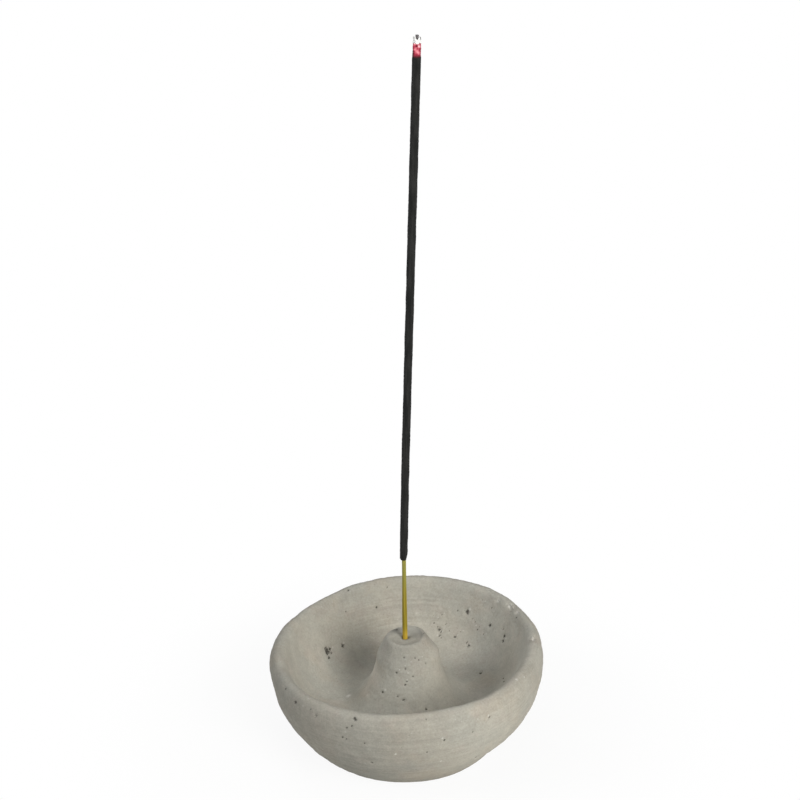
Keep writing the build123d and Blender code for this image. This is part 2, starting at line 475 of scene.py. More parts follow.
def make_piece(name, points, faces, body, node, material, marks):
    """A smooth mesh object from points in millimetres, with named values or vectors at its points."""
    mesh = bpy.data.meshes.new(name)
    mesh.from_pydata((points * MM).tolist(), [], [face for group in faces for face in group.tolist()])
    mesh.polygons.foreach_set("use_smooth", np.ones(len(mesh.polygons), bool))
    for label, values in marks.items():
        kind, field = ("FLOAT", "value") if values.ndim == 1 else ("FLOAT_VECTOR", "vector")
        mark = mesh.attributes.new(label, kind, "POINT")
        mark.data.foreach_set(field, values.astype(np.float32).ravel())
    mesh.update()
    mesh.materials.append(material)
    piece = add_object(name, mesh)
    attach(piece, body)
    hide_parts(node)


# Bowl

def turned(radius, height, angle):
    """Points at a radius from the leaning turning axis, a height along it and an angle round it."""
    side = radius * np.cos(angle)
    along = height - WIDEST_HEIGHT
    x = side * cos(TURNING_TILT) - along * sin(TURNING_TILT)
    z = WIDEST_HEIGHT + side * sin(TURNING_TILT) + along * cos(TURNING_TILT)
    return np.stack(np.broadcast_arrays(x, radius * np.sin(angle), z), -1)


def turning_place(points):
    """The radius and height of points about the turning axis, the reverse of turned."""
    along = points[:, 2] - WIDEST_HEIGHT
    side = points[:, 0] * cos(TURNING_TILT) + along * sin(TURNING_TILT)
    height = WIDEST_HEIGHT - points[:, 0] * sin(TURNING_TILT) + along * cos(TURNING_TILT)
    return np.hypot(side, points[:, 1]), height


def wall_radius(height):
    """Radius of the outer wall: a parabola that stands upright at the widest ring."""
    return BOWL_RADIUS - (BOWL_RADIUS - FOOT_RADIUS) * ((WIDEST_HEIGHT - height) / WIDEST_HEIGHT) ** 2


def foot_height(angle, rounds=8):
    """Height along the turning axis where the outer wall meets the floor, found by repeated substitution."""
    lift = WIDEST_HEIGHT * (1 - cos(TURNING_TILT))
    height = np.zeros_like(angle)
    for _ in range(rounds):
        height = -(lift + wall_radius(height) * np.cos(angle) * sin(TURNING_TILT)) / cos(TURNING_TILT)
    return height


def outer_wall(share, angle):
    """Points of the outer wall, a share of the way from the floor up to the widest ring."""
    low = foot_height(angle)
    height = low + (WIDEST_HEIGHT - low) * share
    return turned(wall_radius(height), height, angle)


def foot_and_wall_rings():
    """Rings from the middle of the flat foot out to its edge, round that edge on a quadratic curve, and up
    the outer wall to just below the widest ring."""
    flat_share = 1 - FOOT_ROUND / FOOT_RADIUS
    edge_share = FOOT_ROUND / WIDEST_HEIGHT
    rings = [np.zeros((1, 3))]
    for share, count in FOOT_RINGS:
        rings.append(outer_wall(0.0, angles(count)) * (share * flat_share))
    angle = angles(WALL_POINTS)
    corner = outer_wall(0.0, angle)
    edge = outer_wall(edge_share, angle)
    for share in shares(FOOT_EDGE_ROWS)[:-1]:
        rings.append(quadratic(corner * flat_share, corner, edge, share))
    for share in np.linspace(edge_share, 1, WALL_ROWS + 1)[:-1]:
        rings.append(outer_wall(share, angle))
    return rings


def lip_and_trough_rings():
    """Rings over the lip on an ellipse, down the straight inner wall that touches it, and on the arc that
    touches the wall and lies level at the bottom of the trough."""
    half_lip = LIP_WIDTH / 2
    lip_end = pi - np.arctan(LIP_HEIGHT / half_lip / np.tan(WALL_SLOPE))
    turns = np.linspace(0, lip_end, LIP_ROWS + 1)[:, None]
    lip_centre = np.array([BOWL_RADIUS - half_lip, WIDEST_HEIGHT])
    lip = lip_centre + np.array([half_lip, LIP_HEIGHT]) * circle(turns)
    wall_top = lip[-1]
    corner = wall_top[0] - (wall_top[1] - TROUGH_HEIGHT) / np.tan(WALL_SLOPE)
    arc_radius = (corner - TROUGH_RADIUS) / np.tan(WALL_SLOPE / 2)
    arc_centre = np.array([TROUGH_RADIUS, TROUGH_HEIGHT + arc_radius])
    bends = np.linspace(WALL_SLOPE, 0, TROUGH_ROWS + 1)[:-1, None]
    arc = arc_centre + arc_radius * circle(bends - pi / 2)
    wall = wall_top + (arc[0] - wall_top) * shares(INNER_WALL_ROWS)[:-1, None]
    profile = np.concatenate([lip[:-1], wall, arc])
    return [turned(radius, height, angles(WALL_POINTS)) for radius, height in profile]


def boss_rings():
    """Rings round the hollow at the foot of the boss, up its straight flank, which touches the hollow's
    circle, over the crest and down the dished crater. The boss drifts towards +X as it rises."""
    crest = np.array([CREST_RADIUS, BOSS_HEIGHT])
    centre = np.array([TROUGH_RADIUS, TROUGH_HEIGHT + HOLLOW_RADIUS])
    span = np.hypot(*(centre - crest))
    flank_turn = np.arctan2(*(centre - crest)[::-1]) - np.arcsin(HOLLOW_RADIUS / span)
    flank_way = np.array([np.cos(flank_turn), np.sin(flank_turn)])
    flank_end = crest + flank_way * np.sqrt(span**2 - HOLLOW_RADIUS**2)
    turns = np.linspace(-pi / 2, flank_turn - pi / 2, HOLLOW_ROWS + 1)[:, None]
    hollow = centre + HOLLOW_RADIUS * circle(turns)
    dish = np.array([DISH_RADIUS, MOUTH_HEIGHT])
    mouth_rim = np.array([MOUTH_RADIUS, MOUTH_HEIGHT])
    before = crest + flank_way * CREST_ROUND_OUT
    after = crest + (dish - crest) * CREST_ROUND_IN / np.hypot(*(dish - crest))
    flank = flank_end + (before - flank_end) * shares(FLANK_ROWS)[1:-1, None]
    rounded = quadratic(before, crest, after, shares(CREST_ROWS)[:, None])
    crater = quadratic(after, dish, mouth_rim, shares(CRATER_ROWS)[1:-1, None])
    rings = []
    for radius, height in np.concatenate([hollow, flank, rounded, crater]):
        ring = turned(radius, height, angles(BOSS_POINTS))
        ring[:, 0] += BOSS_DRIFT * smooth_step(height, TROUGH_HEIGHT, BOSS_HEIGHT)
        rings.append(ring)
    return rings


def hole_rings():
    """Rings down the funnel and the hole, square to the splint, closed by a flat bottom."""
    mouth, _ = stick_line(np.array([HOLE_DEPTH]))
    upwards = np.array([sin(SPLINT_LEAN), 0, cos(SPLINT_LEAN)])
    sideways = np.array([cos(SPLINT_LEAN), 0, -sin(SPLINT_LEAN)])
    angle = angles(BOSS_POINTS)[:, None]
    around = np.cos(angle) * sideways + np.sin(angle) * np.array([0, 1, 0])
    depths = [*(MOUTH_DEPTH * shares(FUNNEL_ROWS)), (MOUTH_DEPTH + HOLE_DEPTH) / 2, HOLE_DEPTH]
    radii = np.interp(depths, [0, MOUTH_DEPTH], [MOUTH_RADIUS, HOLE_RADIUS])
    rings = [mouth - upwards * depth + around * radius for depth, radius in zip(depths, radii)]
    return rings + [mouth - upwards * HOLE_DEPTH]


def seen_marks(points, marks):
    """Places and sizes of a table of marks: at each pixel the point closest to the camera of those about it,
    or the point nearest to the pixel where there are none."""
    across, down, depth = camera_pixels(points)
    places = []
    for pixel_across, pixel_down, _ in marks:
        off = np.hypot(across - pixel_across, down - pixel_down)
        about = off < SEEN_WITHIN
        places.append(points[np.argmin(np.where(about, depth, np.inf) if about.any() else off)])
    return np.array(places), np.array([mark[2] for mark in marks])


def hidden_pores(points, normals, radius):
    """Places and radii of pores on the sides turned away from the camera, at random and more of them on wide
    rings, but none at the foot or in the crater."""
    turned_away = (normals * (CAMERA_PLACE - points)).sum(1) < 0
    free = np.flatnonzero(turned_away & (points[:, 2] >= FOOT_FADE) & (radius > CREST_RADIUS))
    chances = radius[free] / radius[free].sum()
    places = points[chance.choice(free, HIDDEN_PORES, replace=False, p=chances)]
    return places, chance.uniform(*HIDDEN_RADII, HIDDEN_PORES)


def dents(points, places, radii, strength=1.0):
    """Round marks: the greatest of the bell curves at their places, as a height in millimetres, and as a mask
    from 0 to 1 in which small marks are fainter."""
    height = np.zeros(len(points))
    mask = np.zeros(len(points))
    for place, radius, share in zip(places, radii, np.broadcast_to(strength, len(radii))):
        near = ball(points, place, radius)
        height = np.maximum(height, near * radius)
        mask = np.maximum(mask, near * share * min(1, radius / SMALL_MARK))
    return height, mask


def pore_dents(points, normals, radius):
    """Dents of the deep and shallow pores that show and of the hidden ones, which are shallow too."""
    shown = seen_marks(points, DEEP_PORES + SHALLOW_PORES)
    hidden = hidden_pores(points, normals, radius)
    places, radii = (np.concatenate(parts) for parts in zip(shown, hidden))
    strength = np.full(len(radii), SHALLOW_SHARE)
    strength[:len(DEEP_PORES)] = 1
    return dents(points, places, radii, strength)


def boss_swelling(radius, height, angle, inside, boss):
    """How far the boss stands out from its straight flank: a shoulder all round, fuller on the left and most
    of all on the right, and a foot that spreads to the left and to the front right. All of them are bell
    curves."""
    even_shoulder, left_shoulder, right_shoulder = 0.6, 0.4, 1.2
    left_foot, right_foot = 1.5, 0.5
    leftwards = bell(np.abs(angle), pi, 0.8)
    shoulder = (even_shoulder + left_shoulder * leftwards) * bell(height, 33.0, 4.0)
    shoulder += right_shoulder * bell(angle, -0.1, 0.7) * bell(height, 31.0, 3.6)
    foot = inside * (1 - smooth_step(radius, *BOSS_FOOT_RADII)) * bell(height, 16.5, 4.5)
    return shoulder * boss + (left_foot * leftwards + right_foot * bell(angle, -0.45, 0.8)) * foot


def turning_grooves(height, angle):
    """Turning lines: two sines of unlike pitch along the height, which wander a little round the bowl."""
    wander = 0.5 * np.sin(2 * angle + 1.0) + 0.3 * np.sin(5 * angle)
    narrow, wide = (height * 2 * pi / pitch for pitch in GROOVE_PITCHES)
    return np.sin(narrow + wander) + 0.6 * np.sin(wide + 2 + 2 * wander)


def crater_stain_and_painted_shade(radius, height, angle):
    """Darkness of the crater: the sum of its marks, staining at the back left and painted shade on the right,
    each a bell curve round the crater and across it.
    """
    stain_and_shade = np.zeros_like(radius)
    for turn, turn_reach, ring, ring_reach, darkness in CRATER_STAIN_AND_SHADE:
        stain_and_shade += darkness * bell(angle, turn, turn_reach) * bell(radius, ring, ring_reach)
    return stain_and_shade * smooth_step(height, *CRATER_HEIGHTS)


def stone_bowl(material):
    """The turned skin, lifted and lowered by wear at its lip and then moved along its normals: waves of the
    hand, the swelling of the boss, turning lines at the back of the inner wall, lumps and flats at the
    outline, pores, chips on the rim and standing grains. The foot and the hole stay as they are."""
    wall_rings = foot_and_wall_rings()
    rings = wall_rings + lip_and_trough_rings() + boss_rings() + hole_rings()
    points, faces = weld(rings)
    row = np.repeat(np.arange(len(rings)), [len(ring) for ring in rings])
    lip_row = len(wall_rings) + LIP_TOP_ROW
    radius, height = turning_place(points)
    angle = np.arctan2(points[:, 1], points[:, 0])

    at_lip = smooth_step(height, *LIP_HEIGHTS) * smooth_step(radius, *LIP_RADII)
    front = bell(angle, -pi / 2, FRONT_SPREAD) * at_lip
    points[:, 2] += FRONT_LIFT * front - LIP_WEAR * bell(angle, WEAR_ANGLE, WEAR_SPREAD) * at_lip
    normals = point_normals(points, faces)

    inside = smooth_step(row, lip_row, lip_row + INSIDE_ROWS)
    boss = inside * (1 - smooth_step(radius, *BOSS_RADII))
    above_foot = smooth_step(points[:, 2], 0, FOOT_FADE)
    in_hole = 1 - smooth_step(radius, MOUTH_RADIUS, MOUTH_RADIUS + MOUTH_FADE)
    in_hole *= smooth_step(height, *HOLE_HEIGHTS)
    lathe = inside * (1 - boss) * bell(angle, LATHE_ANGLE, LATHE_SPREAD)
    lathe *= smooth_step(height, *LATHE_FROM) * (1 - smooth_step(height, *LATHE_UNTIL))

    rise = sum(tall * soft_noise(points, wavelength) for tall, wavelength in HAND_WAVES)
    rise = rise + boss_swelling(radius, height, angle, inside, boss)
    rise += GROOVE_DEPTH * turning_grooves(height, angle) * lathe + FRONT_THICK * front * inside
    for place, outwards in zip(*seen_marks(points, HAND_LUMPS)):
        rise += outwards * ball(points, place, HAND_REACH)
    rise *= above_foot * (1 - in_hole)

    pores, pore_mask = pore_dents(points, normals, radius)
    chips, chip_mask = dents(points, *seen_marks(points, SEEN_CHIPS))
    grains, grain_and_highlight_mask = dents(points, *seen_marks(points, GRAINS_AND_HIGHLIGHTS))
    chips *= 1 + 0.5 * soft_noise(points, CHIP_GRAIN)
    rise += GRAIN_SHARE * grains - PORE_SHARE * pores - CHIP_SHARE * chips

    marks = {
        # Pores: pits painted dark with the shade in their hollows
        "pore": pore_mask,
        # Light chips and grains, and painted highlights at the lit edges of pores
        "chip_and_highlight": np.maximum(chip_mask, 1.5 * grain_and_highlight_mask),
        "lathe": np.maximum(lathe, 0.5 * (1 - inside)),
        # Where the painted shade on the left of the outside is laid
        "outside": 1 - smooth_step(row - lip_row, *OUTSIDE_ROWS),
        # Crater darkness: staining at its back left and painted shade on its right
        "stain_and_shade": crater_stain_and_painted_shade(radius, height, angle) * boss,
        # Tone: lighter and darker patches, partly the stone's own tone and partly painted light and painted
        # shade
        "tone": 1 + sum(lighter * ball(points, place, reach) for *place, reach, lighter in TONE_PAINTED_LIGHT_AND_SHADE),
    }
    low, high = np.array([list(corner) for corner in cad_box]) / MM
    points = np.clip(points + normals * rise[:, None], low, high)
    make_piece("stone_bowl", points, faces, "holder", "bowl", material, marks)


# Stick

def stick_mouth():
    """Middle of the hole's mouth: on the turning axis where the crater is as wide as the funnel, moved by the
    drill's offset."""
    return turned(np.zeros(1), MOUTH_HEIGHT, np.zeros(1))[0] + np.array([DRILL_OFFSET, 0, 0])


def stick_line(lengths):
    """Centre points and headings at lengths up the stick: the heading turns evenly from the lower lean to
    the upper one along the bend, and the points are its running sum, with a slight bow."""
    table = np.linspace(0, STICK_LENGTH, LINE_STEPS + 1)
    turn = np.clip((table - COAT_START - BEND_START) / BEND_LENGTH, 0, 1)
    heading = SPLINT_LEAN + (COAT_LEAN - SPLINT_LEAN) * turn
    step = table[1] - table[0]
    between = (heading[1:] + heading[:-1]) / 2
    x = np.concatenate([[0], np.cumsum(np.sin(between) * step)])
    z = np.concatenate([[0], np.cumsum(np.cos(between) * step)])
    x -= np.interp(HOLE_DEPTH, table, x)
    z -= np.interp(HOLE_DEPTH, table, z)
    x += BOW * bell(table, COAT_START + BOW_HEIGHT, BOW_REACH)
    middle = np.stack([np.interp(lengths, table, x), 0 * lengths, np.interp(lengths, table, z)], -1)
    return middle + stick_mouth(), np.interp(lengths, table, heading)


def stick_points(lengths, radii, angle):
    """Points round the stick's centre line: one row for each length, at its radius in each direction."""
    middle, heading = stick_line(lengths)
    sideways = np.stack([np.cos(heading), 0 * heading, -np.sin(heading)], -1)
    depthways = np.array([0, 1, 0])
    around = np.cos(angle)[None, :, None] * sideways[:, None] + np.sin(angle)[None, :, None] * depthways
    return middle[:, None] + np.broadcast_to(radii, (len(lengths), len(angle)))[..., None] * around


def stick_marks(lengths, angle):
    """Each point's place on the stick, for its finish: round a unit circle and up its length."""
    up, turn = np.meshgrid(lengths, angle, indexing="ij")
    return np.stack([np.cos(turn), np.sin(turn), up], -1).reshape(-1, 3)


def ring_noise(lengths, angle, across, along, waves=20):
    """A smooth random field over the stick's side, with one wavelength round it and another along it."""
    place = stick_marks(lengths, angle) * np.array([1 / across, 1 / across, 1 / along])
    return soft_noise(place, 1.0, waves).reshape(len(lengths), len(angle))


def side_lumps(lengths, angle, lumps):
    """Random fields over the stick's side, each times its height, added up."""
    return sum(tall * ring_noise(lengths, angle, *waves) for tall, *waves in lumps)


def round_spots(lengths, angle, radius, spots):
    """Bell curves on the stick's side, added up. Each has an angle, a length up the stick, a reach round it
    and along it, and an amount."""
    total = np.zeros((len(lengths), len(angle)))
    for degrees, length, reach_round, reach_along, amount in spots:
        turn = turn_from(angle, degrees)
        total += amount * bell(turn * radius, 0, reach_round) * bell(lengths[:, None], length, reach_along)
    return total


def turn_from(angle, degrees):
    """Angles counted from a direction in degrees, between minus and plus half a turn."""
    return (angle - radians(degrees) + pi) % (2 * pi) - pi


def bamboo_splint(material):
    """The split splint: a rounded square that thickens towards its foot, with grooves between its fibres. It
    is burnt thin inside the ash, and its charred tip is a little thicker again."""
    angle = angles(SPLINT_POINTS)
    bare_rows = np.linspace(0, COAT_START + 6, SPLINT_ROWS[0])
    covered_rows = np.linspace(COAT_START + 7, STICK_LENGTH - TIP_GAP, SPLINT_ROWS[1])
    lengths = np.concatenate([bare_rows, covered_rows])
    flats = np.abs(circle(angle[:, None] - SQUARE_TURN)) ** SQUARE_POWER
    square = flats.sum(1) ** (-1 / SQUARE_POWER)
    swell = 1 + FOOT_SWELL * (1 - smooth_step(lengths, HOLE_DEPTH, HOLE_DEPTH + SWELL_LENGTH))
    bare = 1 - smooth_step(lengths, COAT_START - 1, COAT_START + 1)
    tip = 1 - BURNT_SHARE * smooth_step(lengths, ASH_END - 1.2, ASH_END - 0.5)
    tip += TIP_SHARE * smooth_step(lengths, ASH_END - 0.3, ASH_END + 0.5)
    fibres = FIBRE_DEPTH * ring_noise(lengths, angle, across=0.35, along=26.0) * bare[:, None]
    radii = SPLINT_RADIUS * (SQUARE_SHARE * square[None] * swell[:, None] ** bare[:, None] * tip[:, None])
    radii = np.minimum(radii + fibres, SPLINT_RADIUS + SWELL_LIMIT * bare[:, None])
    rows = stick_points(lengths, radii, angle)
    ends, _ = stick_line(lengths[[0, -1]])
    points, faces = weld([ends[:1], *rows, ends[1:]])
    places = np.concatenate([[[0, 0, 0]], stick_marks(lengths, angle), [[0, 0, STICK_LENGTH]]])
    marks = {"stick_place": places}
    make_piece("bamboo_splint", points, faces, "stick", "bamboo_core", material, marks)


def sleeve(name, outer, lengths, angle, node, slot, material, edge_drop=0, **outer_marks):
    """A closed sleeve on the splint: its outer rows, its upper end, its bore and its lower end. The edge of
    the bore may drop below the last row, and marks of the outer side are 0 in the bore."""
    bore_lengths = lengths[[-1, len(lengths) // 2, 0]]
    bore = stick_points(bore_lengths, SPLINT_RADIUS, angle)
    bore[0, :, 2] -= edge_drop
    points, faces = weld([*outer, *bore], loop=True)
    marks = {"stick_place": np.concatenate([stick_marks(rows, angle) for rows in (lengths, bore_lengths)])}
    for label, values in outer_marks.items():
        marks[label] = np.concatenate([values.ravel(), np.zeros(bore[..., 0].size)])
    make_piece(name, points, faces, "stick", node, material, marks)


def charcoal_coat(material):
    """Paste rolled on the splint: a little uneven in thickness, grainy, and drawn to a slanted rounded end.
    The end is eased on its slanted side and a quarter circle on its short side."""
    angle = angles(COAT_POINTS)
    start = COAT_START + COAT_GAP
    end_rows = start + np.linspace(0, 4, COAT_ROWS[0]) ** 1.5 / 2
    lengths = np.concatenate([end_rows, np.linspace(start + 4.3, COAT_END, COAT_ROWS[1])])
    slant = 0.5 + 0.5 * np.cos(angle)
    short, slanted = COAT_END_LENGTHS
    end = np.clip((lengths[:, None] - start) / (short + (slanted - short) * slant), 0, 1)
    drawn_end = slant * smooth_step(end, -0.4, 1) + (1 - slant) * np.sqrt(1 - (1 - end) ** 2)
    short_edge, slanted_edge = COAT_END_THICKNESS
    edge = SPLINT_RADIUS + slanted_edge + (short_edge - slanted_edge) * (1 - slant)
    radii = edge + (COAT_RADIUS + COAT_PROUD - edge) * drawn_end
    radii = radii + side_lumps(lengths, angle, COAT_GRAIN) * smooth_step(end, 0.1, 0.6)
    outer = stick_points(lengths, radii, angle)
    sleeve("charcoal_coat_rolled", outer, lengths, angle, "charcoal_coat", "charcoal_paste", material)


def heat_field(lengths, angle):
    """Heat from 0 to 1 round the burning end: an even glow, a random field and the marked spots, fading to
    nothing at the lower end."""
    spots = [(degrees, COAT_END + up, reach, reach, heat) for degrees, up, reach, heat in EMBER_SPOTS]
    glow = EVEN_HEAT + UNEVEN_HEAT * ring_noise(lengths, angle, across=0.5, along=0.6)
    glow = glow + round_spots(lengths, angle, EMBER_RADIUS, spots)
    return np.clip(glow, 0.05, 1) * smooth_step(lengths, COAT_END + 0.1, COAT_END + 1.2)[:, None]


def glowing_ember(material):
    """The burning stretch: the coat drawn in and broken into lumps."""
    angle = angles(EMBER_POINTS)
    lengths = np.linspace(COAT_END, EMBER_END, EMBER_ROWS)
    outer = stick_points(lengths, EMBER_RADIUS + side_lumps(lengths, angle, EMBER_LUMPS), angle)
    heat = heat_field(lengths, angle)
    sleeve("glowing_ember", outer, lengths, angle, "ember", "ember", material, ember_heat=heat)


def crumbling_ash(material):
    """Ash above the ember: a rough sleeve whose upper edge stands in uneven prongs, dark in flecks and still
    hot at its lower edge."""
    angle = angles(ASH_POINTS)
    share = np.linspace(0, 1, ASH_ROWS)
    lengths = EMBER_END + (ASH_LENGTH + ASH_OVER) * share
    lumps = side_lumps(lengths, angle, ASH_LUMPS) * smooth_step(share, 0, 0.15)[:, None]
    radii = ASH_RADIUS - ASH_INSET - ASH_TAPER * share[:, None] ** 3 + lumps
    outer = stick_points(lengths, np.clip(radii, SPLINT_RADIUS + ASH_WALL, EMBER_RADIUS), angle)
    gap = ASH_RAGGED[0] + ASH_RAGGED[1] * np.cos(7 * angle + 1.0)
    for degrees, half_width, depth in ASH_GAPS:
        gap = gap + depth * bell(turn_from(angle, degrees), 0, radians(half_width))
    outer[..., 2] -= gap * smooth_step(share, 0.35, 1.0)[:, None]
    flecks = [(degrees, EMBER_END + up, *rest) for degrees, up, *rest in ASH_FLECKS]
    dark = np.clip(round_spots(lengths, angle, ASH_RADIUS, flecks), 0, 1)
    hot_edge = EMBER_END + HOT_HEIGHT + HOT_UNEVEN * ring_noise(lengths, angle, across=0.5, along=0.5)
    hot = smooth_step(hot_edge - lengths[:, None], -0.15, 0.15)
    heat = heat_field(lengths, angle)
    sleeve(
        "crumbling_ash", outer, lengths, angle, "ash_tip", "ash", material,
        edge_drop=gap + ASH_EDGE, char=dark, hot=hot, ember_heat=heat,
    )


# Finishes

def set_inputs(tree, node, inputs):
    """Inputs of a node, by name or number, linked to other sockets or set to values."""
    for name, value in inputs.items():
        if isinstance(value, bpy.types.NodeSocket):
            tree.links.new(value, node.inputs[name])
        else:
            node.inputs[name].default_value = value


def place_node(tree, kind, inputs=None, **settings):
    """A node with its settings and inputs."""
    made = tree.nodes.new(kind)
    for name, value in settings.items():
        setattr(made, name, value)
    set_inputs(tree, made, inputs or {})
    return made


def mixed(tree, share, first, second, blend="MIX"):
    """The colour between two colours at a share."""
    inputs = {0: share, 6: first, 7: second}
    return place_node(tree, "ShaderNodeMix", inputs, data_type="RGBA", blend_type=blend).outputs[2]


def tinted(tree, colour, factor):
    """A colour times a value or another colour."""
    return mixed(tree, 1.0, colour, factor, "MULTIPLY")


def sums(tree, operation, first, second):
    """A sum, difference, quotient or other outcome of two values."""
    return place_node(tree, "ShaderNodeMath", {0: first, 1: second}, operation=operation).outputs[0]


def product(tree, first, second):
    """The product of two values."""
    return sums(tree, "MULTIPLY", first, second)


def ranged(tree, value, span, result=(0.0, 1.0), ease="SMOOTHSTEP"):
    """A value carried from a span to the span of its result, eased and held at the ends."""
    inputs = dict(zip(("Value", "From Min", "From Max", "To Min", "To Max"), (value, *span, *result)))
    return place_node(tree, "ShaderNodeMapRange", inputs, interpolation_type=ease).outputs[0]


def noise(tree, vector, scale, detail=3.0, roughness=0.55):
    """Cloudy noise between 0 and 1."""
    inputs = {"Vector": vector, "Scale": scale, "Detail": detail, "Roughness": roughness}
    return place_node(tree, "ShaderNodeTexNoise", inputs).outputs[0]


def new_group(name, values, output, output_kind="NodeSocketFloat"):
    """An empty shader group and its inner ends. Its inputs are given with their values, None for a vector."""
    group = bpy.data.node_groups.new(name, "ShaderNodeTree")
    for label, value in values.items():
        kind = "NodeSocketVector" if value is None else "NodeSocketFloat"
        socket = group.interface.new_socket(label, in_out="INPUT", socket_type=kind)
        if value is not None:
            socket.default_value = value
    group.interface.new_socket(output, in_out="OUTPUT", socket_type=output_kind)
    return group, group.nodes.new("NodeGroupInput"), group.nodes.new("NodeGroupOutput")


def speckle_group():
    """Round specks: in a share of the cells of a cell pattern, a spot that fades at its size."""
    values = {"Vector": None, "Scale": 1.0, "Share": 0.3, "Size": 0.3}
    group, start, end = new_group("specks", values, "Mask")
    inputs = {"Vector": start.outputs["Vector"], "Scale": start.outputs["Scale"]}
    cells = place_node(group, "ShaderNodeTexVoronoi", inputs)
    parts = place_node(group, "ShaderNodeSeparateColor", {"Color": cells.outputs["Color"]})
    chosen = sums(group, "LESS_THAN", parts.outputs[0], start.outputs["Share"])
    smaller = ranged(group, parts.outputs[1], (0.0, 1.0), (0.5, 1.0), "LINEAR")
    size = product(group, start.outputs["Size"], smaller)
    spot = ranged(group, sums(group, "DIVIDE", cells.outputs["Distance"], size), (0.5, 1.0), (1.0, 0.0))
    set_inputs(group, end, {"Mask": product(group, chosen, spot)})
    return group


def streak_group():
    """Streaks: cloudy noise on a place that is squeezed across and stretched along its third axis."""
    values = {"Vector": None, "Across": 1.0, "Along": 1.0, "Detail": 3.0}
    group, start, end = new_group("streaks", values, "Value")
    across = start.outputs["Across"]
    scale = place_node(group, "ShaderNodeCombineXYZ", {"X": across, "Y": across, "Z": start.outputs["Along"]})
    inputs = {0: start.outputs["Vector"], 1: scale.outputs[0]}
    place = place_node(group, "ShaderNodeVectorMath", inputs, operation="MULTIPLY")
    set_inputs(group, end, {"Value": noise(group, place.outputs[0], 1.0, start.outputs["Detail"])})
    return group


def heat_group():
    """The glow at a heat from 0 to 1: near black, crimson, pink and pinkish white."""
    group, start, end = new_group("heat_glow", {"Heat": 0.0}, "Color", "NodeSocketColor")
    colour = COLD_GLOW
    for low, high, hotter in GLOW_STEPS:
        share = ranged(group, start.outputs["Heat"], (low, high), ease="LINEAR")
        colour = mixed(group, share, colour, hotter)
    set_inputs(group, end, {"Color": colour})
    return group


def use_group(tree, group, **inputs):
    """A group placed in a material with its own values."""
    return place_node(tree, "ShaderNodeGroup", inputs, node_tree=group).outputs[0]


def cleared_tree(owner):
    """The node tree of a material or world, emptied."""
    owner.use_nodes = True
    owner.node_tree.nodes.clear()
    return owner.node_tree


def new_material(name):
    """A material with an empty tree but for its shader and output."""
    material = bpy.data.materials.new(name)
    tree = cleared_tree(material)
    shader = tree.nodes.new("ShaderNodeBsdfPrincipled")
    place_node(tree, "ShaderNodeOutputMaterial", {"Surface": shader.outputs[0]})
    return material, tree, shader


def bump(tree, height, strength, distance):
    """Fine relief from a height between 0 and 1, for a shader's normal."""
    inputs = {"Height": height, "Strength": strength, "Distance": distance}
    return place_node(tree, "ShaderNodeBump", inputs).outputs[0]


def named_mark(tree, name, output="Fac"):
    """A value or vector kept at the piece's own points."""
    return place_node(tree, "ShaderNodeAttribute", attribute_name=name).outputs[output]


def patched(tree, place, colour, patch, scale, edge, most=1.0, detail=3.0):
    """A colour with cloudy patches of another, whose edges lie between two heights of the noise."""
    share = ranged(tree, noise(tree, place, scale, detail), edge, (0.0, most))
    return mixed(tree, share, colour, patch)


def stone_ground(tree, turning, grain):
    """The stone's colour without its marks: clouds of two greys, brown and pink patches, blotches, grain."""
    colour = patched(tree, turning, STONE_GREY, STONE_WARM, scale=0.045, edge=(0.35, 0.65))
    colour = patched(tree, turning, colour, STONE_BROWN, scale=0.07, edge=(0.5, 0.68), most=0.4, detail=4.0)
    colour = patched(tree, turning, colour, STONE_PINK, scale=0.16, edge=(0.5, 0.66), most=0.2)
    blotches = noise(tree, turning, scale=0.25, detail=6.0, roughness=0.65)
    colour = tinted(tree, colour, ranged(tree, blotches, (0.3, 0.7), (1.07, 0.92), "LINEAR"))
    return tinted(tree, colour, ranged(tree, grain, (0.25, 0.75), (0.84, 1.14), "LINEAR"))


